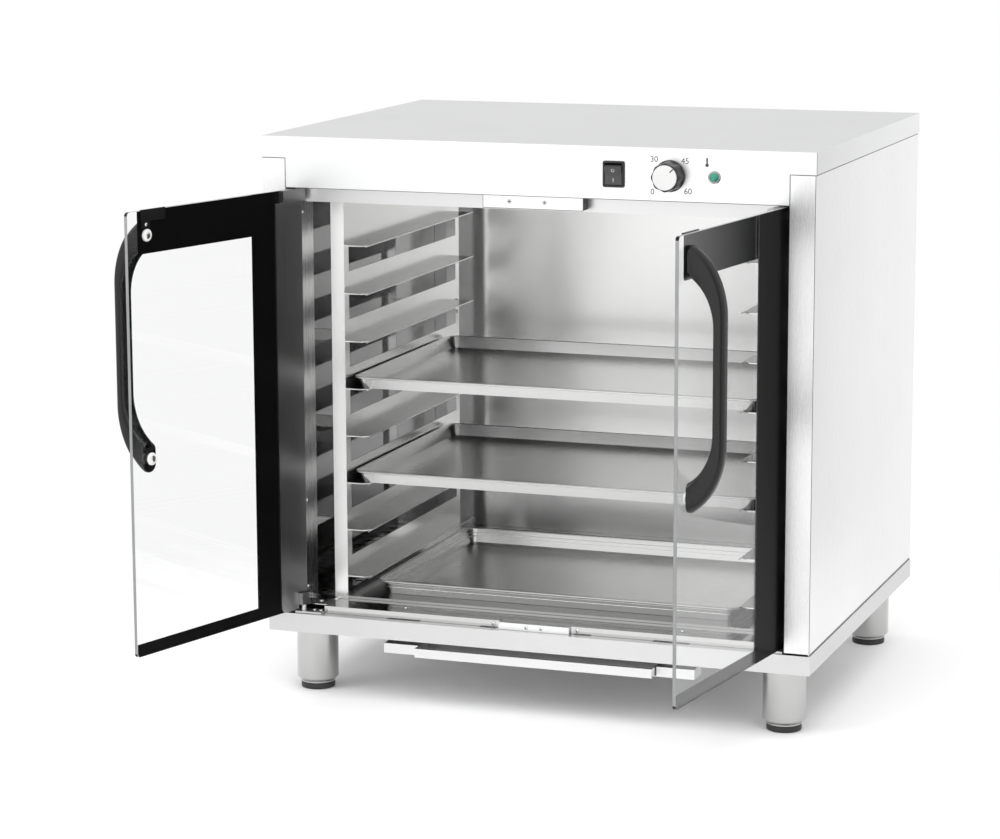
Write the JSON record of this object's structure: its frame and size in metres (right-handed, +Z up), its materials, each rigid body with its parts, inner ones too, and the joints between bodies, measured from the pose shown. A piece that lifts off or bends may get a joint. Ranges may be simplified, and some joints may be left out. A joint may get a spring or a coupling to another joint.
{
  "type": "proofing cabinet",
  "caption": "Free-standing steel proofing cabinet with two hinged glass doors, tray racks, baking trays, water pan, thermostat and adjustable feet.",
  "frame": {"origin": "middle of the underside of the whole object at rest, doors open as pictured", "axes": "+X towards the cabinet's right side, +Y towards its back, +Z up"},
  "size_m": [0.8956, 0.9802, 0.8071],
  "materials": {
    "brushed_steel": "satin stainless sheet",
    "polished_steel": "polished stainless sheet",
    "hinge_steel": "dark satin",
    "bright_steel": "polished",
    "door_glass": "clear, with a black printed border on the hinge side, top and bottom",
    "black_plastic": "satin black",
    "foot_rubber": "matt black",
    "lamp_lens": "clear green",
    "grey_plastic": "moulded"
  },
  "bodies": {
    "cabinet": {"base_pan": "brushed_steel", "top_cover": "brushed_steel", "left_side_panel": "brushed_steel", "right_side_panel": "brushed_steel", "back_panel": "brushed_steel", "front_header": "brushed_steel", "top_door_catch": "brushed_steel", "bottom_door_stop": "brushed_steel", "front_left_leg": "brushed_steel", "front_right_leg": "brushed_steel", "rear_left_leg": "brushed_steel", "rear_right_leg": "brushed_steel", "left_drip_tray_bracket": "brushed_steel", "right_drip_tray_bracket": "brushed_steel", "inner_left_wall": "polished_steel", "inner_right_wall": "polished_steel", "inner_back_wall": "polished_steel", "ceiling_panel": "polished_steel", "floor_front_strip": "polished_steel", "perforated_floor": "polished_steel", "rack_left": "polished_steel", "rack_right": "polished_steel", "left_catch_magnet": "hinge_steel", "left_top_hinge_bracket": "hinge_steel", "left_bottom_hinge_bracket": "bright_steel", "right_catch_magnet": "hinge_steel", "right_top_hinge_bracket": "hinge_steel", "right_bottom_hinge_bracket": "bright_steel", "switch_body": "black_plastic", "thermostat_body": "grey_plastic", "pilot_lamp": "lamp_lens", "heating_element": "hinge_steel", "cable_gland": "black_plastic"},
    "left_door": {"left_door_glass": "door_glass", "left_door_stile": "brushed_steel", "left_top_hinge_leaf": "hinge_steel", "left_bottom_hinge_leaf": "hinge_steel", "left_door_handle": "black_plastic", "left_upper_handle_screw": "bright_steel", "left_lower_handle_screw": "bright_steel", "left_strike_plate": "black_plastic"},
    "right_door": {"right_door_glass": "door_glass", "right_door_stile": "brushed_steel", "right_top_hinge_leaf": "hinge_steel", "right_bottom_hinge_leaf": "hinge_steel", "right_door_handle": "black_plastic", "right_upper_handle_screw": "bright_steel", "right_lower_handle_screw": "bright_steel", "right_strike_plate": "black_plastic"},
    "upper_tray": {"upper_tray": "brushed_steel"},
    "lower_tray": {"lower_tray": "brushed_steel"},
    "water_pan": {"water_pan": "brushed_steel"},
    "drip_tray": {"drip_tray": "brushed_steel"},
    "switch_rocker": {"switch_rocker": "black_plastic"},
    "thermostat_knob": {"thermostat_knob": "black_plastic", "knob_cap": "bright_steel"},
    "front_left_foot": {"front_left_foot": "foot_rubber"},
    "front_right_foot": {"front_right_foot": "foot_rubber"},
    "rear_left_foot": {"rear_left_foot": "foot_rubber"},
    "rear_right_foot": {"rear_right_foot": "foot_rubber"}
  },
  "joints": [
    {"name": "left_door_hinge", "type": "hinge", "parent": "cabinet", "child": "left_door", "pos_m": [-0.30164, -0.1437, 0.1211], "axis": [0, 0, -1], "range_deg": [-106.2, 3.8]},
    {"name": "right_door_hinge", "type": "hinge", "parent": "cabinet", "child": "right_door", "pos_m": [0.39716, -0.1437, 0.1211], "axis": [0, 0, 1], "range_deg": [-82.1, 27.9]},
    {"name": "upper_tray_slide", "type": "slide", "parent": "cabinet", "child": "upper_tray", "axis": [0, -1, 0], "range_m": [0, 0.36]},
    {"name": "lower_tray_slide", "type": "slide", "parent": "cabinet", "child": "lower_tray", "axis": [0, -1, 0], "range_m": [0, 0.36]},
    {"name": "water_pan_slide", "type": "slide", "parent": "cabinet", "child": "water_pan", "axis": [0, -1, 0], "range_m": [0, 0.36]},
    {"name": "drip_tray_slide", "type": "slide", "parent": "cabinet", "child": "drip_tray", "axis": [0, -1, 0], "range_m": [0, 0.06]},
    {"name": "power_switch_rock", "type": "hinge", "parent": "cabinet", "child": "switch_rocker", "pos_m": [0.16676, -0.1497, 0.7697], "axis": [1, 0, 0], "range_deg": [-20, 0]},
    {"name": "thermostat_knob_turn", "type": "hinge", "parent": "cabinet", "child": "thermostat_knob", "pos_m": [0.24576, -0.1537, 0.7697], "axis": [0, 1, 0], "range_deg": [-180, 90]},
    {"name": "front_left_foot_turn", "type": "hinge", "parent": "cabinet", "child": "front_left_foot", "pos_m": [-0.30224, -0.0937, 0.0085], "axis": [0, 0, 1], "continuous": true},
    {"name": "front_right_foot_turn", "type": "hinge", "parent": "cabinet", "child": "front_right_foot", "pos_m": [0.39776, -0.0937, 0.0085], "axis": [0, 0, 1], "continuous": true},
    {"name": "rear_left_foot_turn", "type": "hinge", "parent": "cabinet", "child": "rear_left_foot", "pos_m": [-0.30224, 0.4143, 0.0085], "axis": [0, 0, 1], "continuous": true},
    {"name": "rear_right_foot_turn", "type": "hinge", "parent": "cabinet", "child": "rear_right_foot", "pos_m": [0.39776, 0.4143, 0.0085], "axis": [0, 0, 1], "continuous": true}
  ]
}
